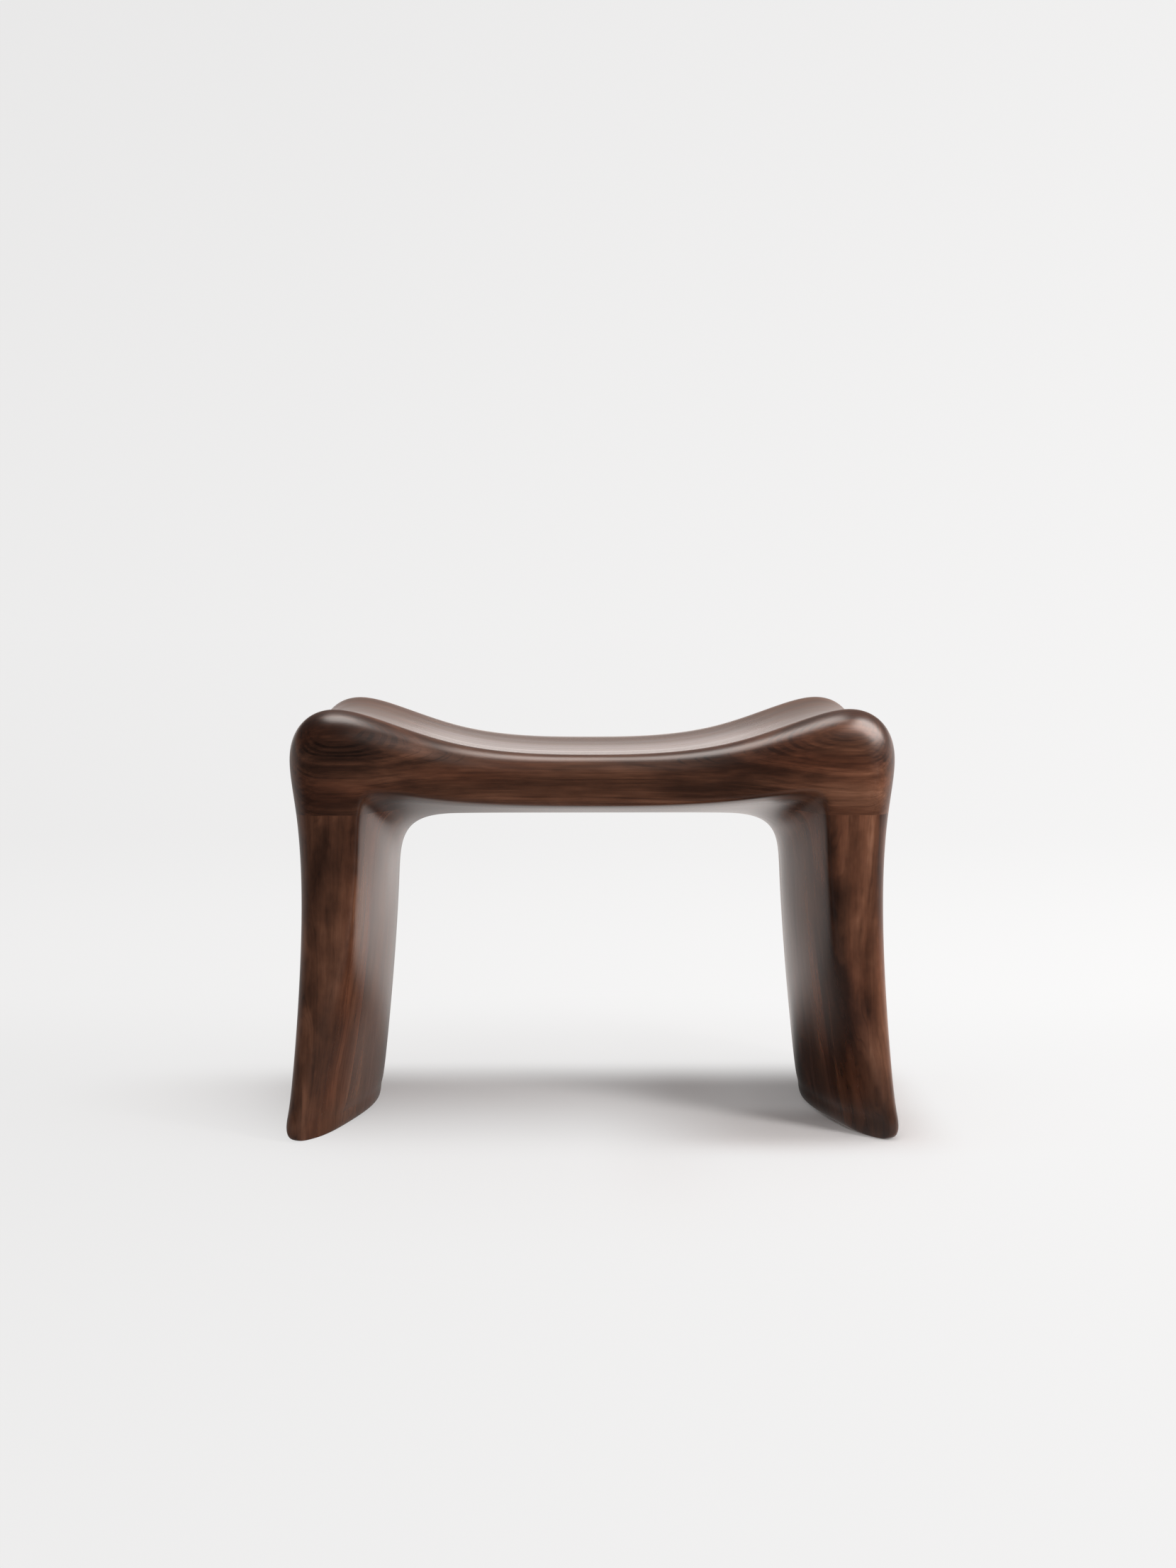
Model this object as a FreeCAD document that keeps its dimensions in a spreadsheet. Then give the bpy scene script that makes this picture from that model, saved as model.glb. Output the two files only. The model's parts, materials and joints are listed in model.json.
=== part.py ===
import FreeCAD, Part
import math
import os
import Sketcher
from FreeCAD import Vector

# A low saddle stool: one sculpted arch of wood. The seat and the two slab legs
# are each glued up from upright staves, held together by loose tenons, and
# then carved to one flowing skin. X runs along the seat, Y from front to back,
# Z is up, and the origin lies on the floor under the seat's middle.

SIZES = {
    # the rim line: the seat's edge, the knobs and the outer side of the legs
    "seat_height": 393.0,
    "knob_rise": 47.0,
    "knob_radius": 46.0,
    "knob_span": 525.5,
    "waist_width": 593.5,
    "waist_height": 245.0,
    "foot_width": 627.0,
    # the crease line: the lower edge of the rail and the inner edge of the leg's front
    "rail_height": 51.5,
    "crease_rise": 18.0,
    "crease_radius": 17.0,
    "leg_face": 60.0,
    "foot_face": 30.0,
    # the belly line: the underside and the inner side of the legs at mid depth
    "belly_drop": 24.0,
    "belly_arch": 3.0,
    "belly_radius": 36.0,
    "leg_thick": 89.5,
    "foot_thick": 86.5,
    # depths from front to back, and the hollows across them
    "rail_depth": 354.0,
    "knob_depth": 386.0,
    "waist_depth": 368.0,
    "foot_depth": 384.0,
    "seat_dish": 9.0,
    "knob_dish": 13.0,
    "foot_dish": 4.0,
    # the softness of the edges
    "rim_round": 20.0,
    "knob_round": 40.0,
    "foot_rim_round": 12.0,
    "crease_round": 12.0,
    "foot_crease_round": 15.0,
    "face_draft": 4.0,
    "foot_round": 20.0,
    # the glued-up construction
    "stave_thick": 65.0,
    "joint_drop": 60.0,
    "shoulder_step": 10.0,
    "tenon_thick": 18.0,
    "tenon_wide": 40.0,
    "tenon_long": 100.0,
    "tenon_setback": 39.0,
    "glue_gap": 0.15,
    "end_gap": 2.0,
    "carve_allowance": 15.0,
}

# Steps along the skin, as shares of the run that they divide.
SEAT_STEPS = (0.0, 0.28, 0.55, 0.78)
CORNER_TURNS = (90.0, 45.0, 0.0)
LEG_STEPS = (0.14, 0.31, 0.52, 0.74, 0.92)
TOP_STEPS = (0.0, 0.36, 0.70)
BELLY_STEPS = (0.66, 0.33, 0.0)

# How sharply the lines swing out towards the knob and the foot.
KNOB_SWING = 2.5
FOOT_SWING = 1.6
CREASE_SWING = 2.6
BELLY_SWING = 1.5
ROUND_SWING = 1.2
# The belly is a parabola across the depth at the seat, and leaner at the foot.
SEAT_BELLY = 2.0
FOOT_BELLY = 1.5
# The share of the foot's front face that is left under its rounded edge.
FOOT_TIP = 0.3
# Where down the leg the crease has faded, how far, and how much wider its turn is there.
FADE_END = 0.66
FOOT_FADE = 0.95
FADE_SPREAD = 3.0

# Poles at 45 degree steps stand this much outside the round that they shape.
POLE_REACH = 3 / (2 + math.cos(math.radians(45)))
DEGREE = 3
SEAM_INDEX = 6
STAVES_PER_SIDE = 3
SIDES = {"left": -1, "right": 1}

doc = FreeCAD.newDocument("saddle_stool")


def make_sheet():
    """Keep the driving dimensions in a sheet, each under its own name."""
    table = doc.addObject("Spreadsheet::Sheet", "sizes")
    for row, (name, value) in enumerate(SIZES.items(), start=1):
        table.set(f"A{row}", name)
        table.set(f"B{row}", str(value))
        table.setAlias(f"B{row}", name)
    doc.recompute()
    return table


sheet = make_sheet()


def blend(first, last, share):
    return first + (last - first) * share


def quarter_round(side, top, radius):
    """Poles of a rounded corner, from its top to its side."""
    reach = radius * POLE_REACH
    turns = [math.radians(turn) for turn in CORNER_TURNS]
    return [(side - reach * (1 - math.cos(a)), top - reach * (1 - math.sin(a))) for a in turns]


def rim_line():
    """Seat's edge, knob and outer side of the leg, as (x, z) from the middle to the floor."""
    knob_x = sheet.knob_span / 2
    knob_top = sheet.seat_height + sheet.knob_rise
    reach = sheet.knob_radius * POLE_REACH
    side_x = knob_x + reach
    side_z = knob_top - sheet.knob_radius
    waist_x = sheet.waist_width / 2
    foot_x = sheet.foot_width / 2
    line = []
    for step in SEAT_STEPS:
        lift = (1 - math.cos(math.pi * step ** 2)) / 2
        line.append((knob_x * step, sheet.seat_height + sheet.knob_rise * lift))
    line += quarter_round(side_x, side_z + reach, sheet.knob_radius)
    for step in LEG_STEPS + (1.0,):
        z = side_z * (1 - step)
        if z > sheet.waist_height:
            rise = (z - sheet.waist_height) / (side_z - sheet.waist_height)
            line.append((blend(waist_x, side_x, rise ** KNOB_SWING), z))
        else:
            fall = 1 - z / sheet.waist_height
            line.append((blend(waist_x, foot_x, fall ** FOOT_SWING), z))
    return line


def crease_line():
    """Lower edge of the rail and inner edge of the leg's front face."""
    middle_z = sheet.seat_height - sheet.rail_height
    leg_x = sheet.waist_width / 2 - sheet.leg_face
    foot_x = sheet.foot_width / 2 - sheet.foot_face
    corner = quarter_round(leg_x, middle_z + sheet.crease_rise, sheet.crease_radius)
    line = [(corner[0][0] * step, middle_z + sheet.crease_rise * step ** 3) for step in SEAT_STEPS]
    line += corner
    for step in LEG_STEPS + (1.0,):
        line.append((blend(leg_x, foot_x, step ** CREASE_SWING), corner[-1][1] * (1 - step)))
    return line


def belly_line():
    """Underside of the seat and inner side of the leg, at mid depth."""
    belly_z = sheet.seat_height - sheet.rail_height - sheet.belly_drop
    leg_x = sheet.waist_width / 2 - sheet.leg_thick
    foot_x = sheet.foot_width / 2 - sheet.foot_thick
    corner = quarter_round(leg_x, belly_z, sheet.belly_radius)
    line = [(corner[0][0] * step, belly_z + sheet.belly_arch * (1 - step ** 3)) for step in SEAT_STEPS]
    line += corner
    for step in LEG_STEPS + (1.0,):
        line.append((blend(leg_x, foot_x, step ** BELLY_SWING), corner[-1][1] * (1 - step)))
    return line


def sections():
    """Sizes of each cross-section of the right half, from the seat's middle to the floor."""
    found = []
    for rim, crease, belly in zip(rim_line(), crease_line(), belly_line()):
        found.append({"rim": rim, "crease": crease, "belly": belly})
    seat_shares = list(SEAT_STEPS) + [1.0] * len(CORNER_TURNS)
    leg_shares = [0.0] * len(seat_shares) + list(LEG_STEPS) + [1.0]
    seat_shares += [1.0] * (len(found) - len(seat_shares))
    for section, seat, leg in zip(found, seat_shares, leg_shares):
        depth = blend(sheet.rail_depth, sheet.knob_depth, seat ** 3)
        dish = blend(sheet.seat_dish, sheet.knob_dish, seat ** 3)
        rim_round = blend(sheet.rim_round, sheet.knob_round, seat ** ROUND_SWING)
        if leg:
            depth = sheet.waist_depth
            depth += (sheet.knob_depth - sheet.waist_depth) * max(1 - 2 * leg, 0) ** 2
            depth += (sheet.foot_depth - sheet.waist_depth) * max(2 * leg - 1, 0) ** 2
            dish = blend(sheet.knob_dish, sheet.foot_dish, math.sqrt(leg))
            rim_round = blend(sheet.knob_round, sheet.foot_rim_round, math.sqrt(leg))
        section["half_depth"] = depth / 2
        section["dish"] = dish
        section["draft"] = sheet.face_draft
        section["rim_round"] = rim_round
        section["crease_round"] = blend(sheet.crease_round, sheet.foot_crease_round, leg)
        section["belly_power"] = blend(SEAT_BELLY, FOOT_BELLY, leg)
        section["fade"] = FOOT_FADE * min(leg / FADE_END, 1) ** 3
    return found


def foot_sections(floor):
    """The last sections: the foot's wall, its edge on the floor and its sole."""
    (rim_x, _), (crease_x, _), (belly_x, _) = floor["rim"], floor["crease"], floor["belly"]
    round_off = sheet.foot_round
    tip = (rim_x - crease_x) * FOOT_TIP
    wall = dict(floor, rim=(rim_x, round_off), crease=(crease_x, round_off), belly=(belly_x, round_off))
    sole = dict(floor)
    sole["rim"] = (rim_x - round_off, 0.0)
    sole["crease"] = (rim_x - round_off - tip, 0.0)
    sole["belly"] = (belly_x + round_off, 0.0)
    sole["half_depth"] = floor["half_depth"] - round_off
    sole["draft"] = 0.0
    sole["rim_round"] = tip / 3
    sole["crease_round"] = tip / 3
    return [wall, floor, sole]


def half_ring(section):
    """Poles of half a cross-section, from the top's middle round the front to the belly's middle."""
    rim = Vector(section["rim"][0], 0, section["rim"][1])
    crease = Vector(section["crease"][0], 0, section["crease"][1])
    belly = Vector(section["belly"][0], 0, section["belly"][1])
    out = (rim - crease).normalize()
    depth = section["half_depth"]
    inner_depth = depth - section["draft"]
    rim_round = section["rim_round"]
    crease_round = section["crease_round"]

    def at_depth(point, y):
        return Vector(point.x, -y, point.z)

    def top(y):
        hollow = section["dish"] * (1 - (y / (depth - rim_round)) ** 2)
        return at_depth(rim - out * hollow, y)

    def under(y):
        share = 1 - (y / inner_depth) ** section["belly_power"]
        return at_depth(crease + (belly - crease) * share, y)

    bevel = rim_round * (1 - math.cos(math.radians(45)))
    face_edge = at_depth(crease + out * crease_round, inner_depth)
    belly_edge = under(inner_depth - crease_round * blend(1, FADE_SPREAD, section["fade"]))
    crease_edge = at_depth(crease, inner_depth)
    crease_edge += ((face_edge + belly_edge) / 2 - crease_edge) * section["fade"]
    poles = [top(depth * step) for step in TOP_STEPS]
    poles.append(at_depth(rim, depth - rim_round))
    poles.append(at_depth(rim - out * bevel, depth - bevel))
    poles.append(at_depth(rim - out * rim_round, depth))
    poles += [face_edge, crease_edge, belly_edge]
    poles += [under(inner_depth * step) for step in BELLY_STEPS]
    return poles


def ring(section):
    """A whole cross-section: the front half and its mirror image behind."""
    front = half_ring(section)
    back = [Vector(p.x, -p.y, p.z) for p in front[-2:0:-1]]
    poles = front + back
    return poles[SEAM_INDEX:] + poles[:SEAM_INDEX]


def skin_poles():
    """Rings of poles from the left sole over the seat to the right sole."""
    right = sections()
    right += foot_sections(right.pop())
    rings = [ring(section) for section in right]
    left = [[Vector(-p.x, p.y, p.z) for p in poles] for poles in rings[:0:-1]]
    rings = left + rings
    # one more ring at each end makes the skin end on its last ring
    first = [(a * 2 + b) / 3 for a, b in zip(rings[0], rings[1])]
    last = [(a * 2 + b) / 3 for a, b in zip(rings[-1], rings[-2])]
    return rings[:1] + [first] + rings[1:-1] + [last] + rings[-1:]


def arch_form():
    """The whole carved arch: one smooth skin, closed by a flat sole under each leg."""
    poles = skin_poles()
    along = len(poles) - DEGREE
    round_it = len(poles[0])
    skin = Part.BSplineSurface()
    skin.buildFromPolesMultsKnots(
        poles,
        [DEGREE + 1] + [1] * (along - 1) + [DEGREE + 1],
        [1] * (round_it + 1),
        list(range(along + 1)),
        list(range(round_it + 1)),
        False, True, DEGREE, DEGREE)
    wall = skin.toShape()
    faces = [wall]
    for end in (0, along):
        faces.append(Part.Face(Part.Wire(skin.uIso(end).toShape())))
    shell = Part.makeShell(faces)
    shell.sewShape()
    solid = Part.makeSolid(shell)
    if solid.Volume < 0:
        solid.reverse()
    form = doc.addObject("Part::Feature", "arch_form")
    form.Shape = solid
    return form


# Rules for the glue lines, the joint and the blanks that the form is carved from.
FRONT = "-(sizes.knob_depth / 2 + sizes.carve_allowance)"
BACK = "sizes.knob_depth / 2 + sizes.carve_allowance"
JOINT = "sizes.seat_height - sizes.joint_drop"
SHOULDER = "sizes.waist_width / 2 - sizes.leg_thick - sizes.shoulder_step"
OUTSIDE = "sizes.knob_span / 2 + sizes.knob_radius + sizes.foot_width / 2"
TOP = "sizes.seat_height + sizes.knob_rise + sizes.carve_allowance"
UNDER = "sizes.seat_height - sizes.rail_height - sizes.belly_drop - sizes.carve_allowance"
BELOW = "-sizes.carve_allowance"


def box(name, low, high):
    """A box between two corners, each corner given as three rules on the sheet."""
    made = doc.addObject("Part::Box", name)
    for side, axis, start, end in zip(("Length", "Width", "Height"), "xyz", low, high):
        made.setExpression(side, f"({end}) - ({start})")
        made.setExpression(f"Placement.Base.{axis}", start)
    return made


def boolean(kind, name, base, tool):
    made = doc.addObject(kind, name)
    made.Base = base
    made.Tool = tool
    return made


def rounded_bar(name, side, stave, gap, reach):
    """A round-ended bar across the joint plane, in the middle of a stave of one leg."""
    body = doc.addObject("PartDesign::Body", name)
    section = body.newObject("Sketcher::SketchObject", name + "_section")
    plane = next(item for item in body.Origin.OriginFeatures if item.Role == "XY_Plane")
    section.AttachmentSupport = [(plane, "")]
    section.MapMode = "FlatFace"
    radius = sheet.tenon_thick / 2
    run = (sheet.tenon_wide - sheet.tenon_thick) / 2
    up = Vector(0, 0, 1)
    section.addGeometry(Part.LineSegment(Vector(radius, -run, 0), Vector(radius, run, 0)))
    section.addGeometry(Part.ArcOfCircle(Part.Circle(Vector(0, run, 0), up, radius), 0, math.pi))
    section.addGeometry(Part.LineSegment(Vector(-radius, run, 0), Vector(-radius, -run, 0)))
    section.addGeometry(Part.ArcOfCircle(Part.Circle(Vector(0, -run, 0), up, radius), math.pi, 2 * math.pi))
    for first, second in ((0, 1), (1, 2), (2, 3), (3, 0)):
        section.addConstraint(Sketcher.Constraint("Tangent", first, 2, second, 1))
    section.addConstraint(Sketcher.Constraint("Equal", 1, 3))
    section.addConstraint(Sketcher.Constraint("Symmetric", 1, 3, 3, 3, -1, 1))
    section.addConstraint(Sketcher.Constraint("PointOnObject", 1, 3, -2))
    end_radius = section.addConstraint(Sketcher.Constraint("Radius", 1, radius))
    straight = section.addConstraint(Sketcher.Constraint("DistanceY", 3, 3, 1, 3, 2 * run))
    section.setExpression(f"Constraints[{end_radius}]", f"sizes.tenon_thick / 2 + {gap}")
    section.setExpression(f"Constraints[{straight}]", "sizes.tenon_wide - sizes.tenon_thick")
    pad = body.newObject("PartDesign::Pad", name + "_length")
    pad.Profile = section
    pad.setExpression("Length", f"sizes.tenon_long + 2 * {reach}")
    body.setExpression("Placement.Base.x", f"{SIDES[side]} * (sizes.waist_width / 2 - sizes.tenon_setback)")
    body.setExpression("Placement.Base.y", f"{stave - STAVES_PER_SIDE - 0.5} * sizes.stave_thick")
    body.setExpression("Placement.Base.z", f"{JOINT} - sizes.tenon_long / 2 - {reach}")
    return body


def stave_span(stave):
    """Front and back of a stave: the glue lines, and all that is left for the outer two."""
    last = 2 * STAVES_PER_SIDE
    front = FRONT if stave == 1 else f"{stave - 1 - STAVES_PER_SIDE} * sizes.stave_thick"
    back = BACK if stave == last else f"{stave - STAVES_PER_SIDE} * sizes.stave_thick"
    return front, back


parts = []


def carve(label, blank):
    """Carve a blank to the form, which leaves the finished piece."""
    piece = boolean("Part::Common", label, form, blank)
    piece.Label = label
    parts.append(piece)


def add_stave(stave):
    front, back = stave_span(stave)
    inner = 1 < stave < 2 * STAVES_PER_SIDE
    board = box(f"seat_board_{stave}", (f"-({OUTSIDE})", front, JOINT), (OUTSIDE, back, TOP))
    tongue = box(f"seat_tongue_{stave}", (f"-({SHOULDER})", front, UNDER), (SHOULDER, back, JOINT))
    seat = boolean("Part::Fuse", f"seat_blank_{stave}", board, tongue)
    for side, sign in SIDES.items():
        if sign < 0:
            low, high = f"-({OUTSIDE})", f"-({SHOULDER})"
        else:
            low, high = SHOULDER, OUTSIDE
        leg = box(f"{side}_leg_blank_{stave}", (low, front, BELOW), (high, back, JOINT))
        if inner:
            tenon = rounded_bar(f"{side}_tenon_{stave - 1}", side, stave, "0", "0")
            parts.append(tenon)
            mortise = rounded_bar(f"{side}_mortise_{stave - 1}", side, stave, "sizes.glue_gap", "sizes.end_gap")
            leg = boolean("Part::Cut", f"{side}_leg_mortised_{stave}", leg, mortise)
            seat = boolean("Part::Cut", f"seat_mortised_{stave}_{side}", seat, mortise)
        carve(f"{side}_leg_stave_{stave}", leg)
    carve(f"seat_stave_{stave}", seat)


form = arch_form()
for number in range(1, 2 * STAVES_PER_SIDE + 1):
    add_stave(number)
doc.recompute()

for item in doc.Objects:
    if "Invalid" in item.State or "Error" in item.State:
        raise RuntimeError(f"{item.Name} failed to build")
for piece in parts:
    if piece.Shape.isNull() or not piece.Shape.isValid() or len(piece.Shape.Solids) != 1:
        raise RuntimeError(f"{piece.Label} is not one sound solid")

os.makedirs("parts", exist_ok=True)
for piece in parts:
    piece.Shape.exportStep(f"parts/{piece.Label}.step")
    print(piece.Label, "volume", round(piece.Shape.Volume), "cubic millimetres")
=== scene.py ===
import json
import math
from types import SimpleNamespace

import bmesh
import bpy
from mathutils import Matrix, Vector

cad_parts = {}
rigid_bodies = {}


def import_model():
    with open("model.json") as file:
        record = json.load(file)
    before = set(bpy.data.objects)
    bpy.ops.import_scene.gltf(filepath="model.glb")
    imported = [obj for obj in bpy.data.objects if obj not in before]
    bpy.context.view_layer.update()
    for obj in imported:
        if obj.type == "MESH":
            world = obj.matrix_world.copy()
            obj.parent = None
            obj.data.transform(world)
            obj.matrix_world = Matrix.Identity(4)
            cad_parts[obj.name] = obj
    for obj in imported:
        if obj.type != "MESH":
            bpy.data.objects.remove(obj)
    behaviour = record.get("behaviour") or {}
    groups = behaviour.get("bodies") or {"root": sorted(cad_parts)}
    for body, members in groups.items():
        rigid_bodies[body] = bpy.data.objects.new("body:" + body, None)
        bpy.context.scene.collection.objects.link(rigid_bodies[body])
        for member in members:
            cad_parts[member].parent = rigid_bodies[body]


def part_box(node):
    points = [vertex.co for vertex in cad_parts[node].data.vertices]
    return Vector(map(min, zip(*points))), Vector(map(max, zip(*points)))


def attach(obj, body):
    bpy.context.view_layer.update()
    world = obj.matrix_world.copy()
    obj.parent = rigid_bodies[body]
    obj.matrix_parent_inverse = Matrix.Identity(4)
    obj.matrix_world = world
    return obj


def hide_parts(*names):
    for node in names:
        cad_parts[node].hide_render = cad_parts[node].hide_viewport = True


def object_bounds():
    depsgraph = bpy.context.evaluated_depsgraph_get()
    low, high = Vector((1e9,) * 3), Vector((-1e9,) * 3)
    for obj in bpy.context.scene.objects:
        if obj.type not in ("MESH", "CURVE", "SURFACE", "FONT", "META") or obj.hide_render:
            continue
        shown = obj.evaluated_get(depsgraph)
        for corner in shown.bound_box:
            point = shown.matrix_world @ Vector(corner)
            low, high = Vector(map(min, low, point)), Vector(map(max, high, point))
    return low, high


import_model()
CAD_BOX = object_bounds()

# A low saddle stool in dark walnut, in metres: X along the seat, Y from front to
# back, Z up, with the floor at Z = 0.

# The rim line: the seat's edge, the knobs and the outer side of the legs.
SEAT_HEIGHT = 0.393
KNOB_RISE = 0.047
KNOB_RADIUS = 0.046
KNOB_SPAN = 0.5255
WAIST_WIDTH = 0.5935
WAIST_HEIGHT = 0.245
FOOT_WIDTH = 0.627
# The crease line: the lower edge of the rail and the inner edge of the leg's front.
RAIL_HEIGHT = 0.0515
CREASE_RISE = 0.018
CREASE_RADIUS = 0.017
LEG_FACE = 0.060
FOOT_FACE = 0.030
# The belly line: the underside and the inner side of the legs at mid depth.
BELLY_DROP = 0.024
BELLY_ARCH = 0.003
BELLY_RADIUS = 0.036
LEG_THICK = 0.0895
FOOT_THICK = 0.0865
# Depths from front to back, and the hollows across them.
RAIL_DEPTH = 0.354
KNOB_DEPTH = 0.386
WAIST_DEPTH = 0.368
FOOT_DEPTH = 0.384
SEAT_DISH = 0.009
KNOB_DISH = 0.013
FOOT_DISH = 0.004
# The softness of the edges.
RIM_ROUND = 0.020
KNOB_ROUND = 0.040
FOOT_RIM_ROUND = 0.012
CREASE_ROUND = 0.012
FOOT_CREASE_ROUND = 0.015
FACE_DRAFT = 0.004
FOOT_ROUND = 0.020
# The sole's outer end, as a share of the foot's front.
SOLE_TIP = 0.3
# How late a line bends on its way: 1 is evenly, and more is later.
SADDLE_BEND = 2
KNOB_BEND = 3
KNOB_ROUND_BEND = 1.2
WAIST_BEND = 2.5
FOOT_BEND = 1.6
CREASE_BEND = 1.8
BELLY_BEND = 1.5
# How full the belly is from front to back, under the seat and at the foot.
BELLY_FULLNESS = 2.0
FOOT_FULLNESS = 1.5
# The crease fades on its way down: how much, over which share of the leg, how late and how wide.
CREASE_FADE = 0.95
FADE_LENGTH = 0.66
FADE_BEND = 3
FADE_SPREAD = 3
# The glued-up construction.
STAVE_THICK = 0.065
STAVES = 6
JOINT_DROP = 0.060
JOINT_HEIGHT = SEAT_HEIGHT - JOINT_DROP
SHOULDER_STEP = 0.010
SHOULDER = WAIST_WIDTH / 2 - LEG_THICK - SHOULDER_STEP
TENON_ROOM = 0.002
GLUE_ROOM = 0.00015
SAW_EXACTNESS = 0.000001
SAME_PLACE = 0.0001
SIDES = {"left": -1, "right": 1}

# Steps along the skin, as shares of the run that they divide.
SEAT_STEPS = (0.0, 0.28, 0.55, 0.78)
LEG_STEPS = (0.14, 0.31, 0.52, 0.74, 0.92, 1.0)
TOP_STEPS = (0.0, 0.36, 0.70)
BELLY_STEPS = (0.66, 0.33, 0.0)
CORNER_TURNS = [math.radians(turn) for turn in (90, 45, 0)]
COS_45 = math.cos(math.radians(45))
# Points at 45 degree steps stand this much outside the round that they shape.
POINT_REACH = 3 / (2 + COS_45)
SMOOTHING = 4
# Faces that meet at less than this are shaded as one.
SHADE_ANGLE = math.radians(14)


def blend(first, last, share):
    return first + (last - first) * share


def quarter_round(side, top, radius):
    """Cage points of a rounded corner, from its top to its side."""
    reach = radius * POINT_REACH
    return [(side - reach * (1 - math.cos(a)), top - reach * (1 - math.sin(a))) for a in CORNER_TURNS]


def rim_line():
    """Seat's edge, knob and outer side of the leg, as (x, z) from the middle to the floor."""
    reach = KNOB_RADIUS * POINT_REACH
    side_x = KNOB_SPAN / 2 + reach
    side_z = SEAT_HEIGHT + KNOB_RISE - KNOB_RADIUS
    line = []
    for step in SEAT_STEPS:
        lift = (1 - math.cos(math.pi * step ** SADDLE_BEND)) / 2
        line.append((KNOB_SPAN / 2 * step, SEAT_HEIGHT + KNOB_RISE * lift))
    line += quarter_round(side_x, side_z + reach, KNOB_RADIUS)
    for step in LEG_STEPS:
        z = side_z * (1 - step)
        if z > WAIST_HEIGHT:
            rise = (z - WAIST_HEIGHT) / (side_z - WAIST_HEIGHT)
            x = blend(WAIST_WIDTH / 2, side_x, rise ** WAIST_BEND)
        else:
            fall = 1 - z / WAIST_HEIGHT
            x = blend(WAIST_WIDTH / 2, FOOT_WIDTH / 2, fall ** FOOT_BEND)
        line.append((x, z))
    return line


def inner_line(corner, seat_rise, foot_x, bend):
    """A line along the underside and down the inside of the leg, through a rounded corner."""
    seat_x, seat_z = corner[0]
    leg_x, leg_z = corner[-1]
    line = [(seat_x * step, seat_z - seat_rise * (1 - step ** KNOB_BEND)) for step in SEAT_STEPS]
    line += corner
    line += [(blend(leg_x, foot_x, step ** bend), leg_z * (1 - step)) for step in LEG_STEPS]
    return line


def leg_depth(leg):
    """Depth of the leg at a share of the way down, least half way."""
    upper = max(1 - 2 * leg, 0) ** 2
    lower = max(2 * leg - 1, 0) ** 2
    return WAIST_DEPTH + (KNOB_DEPTH - WAIST_DEPTH) * upper + (FOOT_DEPTH - WAIST_DEPTH) * lower


def cross_sections():
    """Sizes of each cross-section of the right half, from the seat's middle to the floor."""
    under_z = SEAT_HEIGHT - RAIL_HEIGHT
    crease_corner = quarter_round(WAIST_WIDTH / 2 - LEG_FACE, under_z + CREASE_RISE, CREASE_RADIUS)
    belly_corner = quarter_round(WAIST_WIDTH / 2 - LEG_THICK, under_z - BELLY_DROP, BELLY_RADIUS)
    rims = rim_line()
    creases = inner_line(crease_corner, CREASE_RISE, FOOT_WIDTH / 2 - FOOT_FACE, CREASE_BEND)
    bellies = inner_line(belly_corner, -BELLY_ARCH, FOOT_WIDTH / 2 - FOOT_THICK, BELLY_BEND)
    corner_count = len(CORNER_TURNS)
    seats = list(SEAT_STEPS) + [1.0] * (corner_count + len(LEG_STEPS))
    legs = [0.0] * (len(SEAT_STEPS) + corner_count) + list(LEG_STEPS)
    found = []
    for rim, crease, belly, seat, leg in zip(rims, creases, bellies, seats, legs):
        if leg:
            depth = leg_depth(leg)
            dish = blend(KNOB_DISH, FOOT_DISH, math.sqrt(leg))
            rim_round = blend(KNOB_ROUND, FOOT_RIM_ROUND, math.sqrt(leg))
        else:
            depth = blend(RAIL_DEPTH, KNOB_DEPTH, seat ** KNOB_BEND)
            dish = blend(SEAT_DISH, KNOB_DISH, seat ** KNOB_BEND)
            rim_round = blend(RIM_ROUND, KNOB_ROUND, seat ** KNOB_ROUND_BEND)
        found.append({
            "rim": rim, "crease": crease, "belly": belly,
            "half_depth": depth / 2, "dish": dish, "draft": FACE_DRAFT, "rim_round": rim_round,
            "crease_round": blend(CREASE_ROUND, FOOT_CREASE_ROUND, leg),
            "fullness": blend(BELLY_FULLNESS, FOOT_FULLNESS, leg),
            "fade": CREASE_FADE * min(leg / FADE_LENGTH, 1) ** FADE_BEND})
    return found


def foot_sections(floor):
    """The last sections: the foot's wall, its edge on the floor and its sole."""
    rim_x, crease_x, belly_x = (floor[line][0] for line in ("rim", "crease", "belly"))
    tip = (rim_x - crease_x) * SOLE_TIP
    wall = dict(
        floor, rim=(rim_x, FOOT_ROUND), crease=(crease_x, FOOT_ROUND), belly=(belly_x, FOOT_ROUND))
    sole = dict(
        floor, rim=(rim_x - FOOT_ROUND, 0), crease=(rim_x - FOOT_ROUND - tip, 0),
        belly=(belly_x + FOOT_ROUND, 0), half_depth=floor["half_depth"] - FOOT_ROUND,
        draft=0, rim_round=tip / 3, crease_round=tip / 3)
    return [wall, floor, sole]


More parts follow.
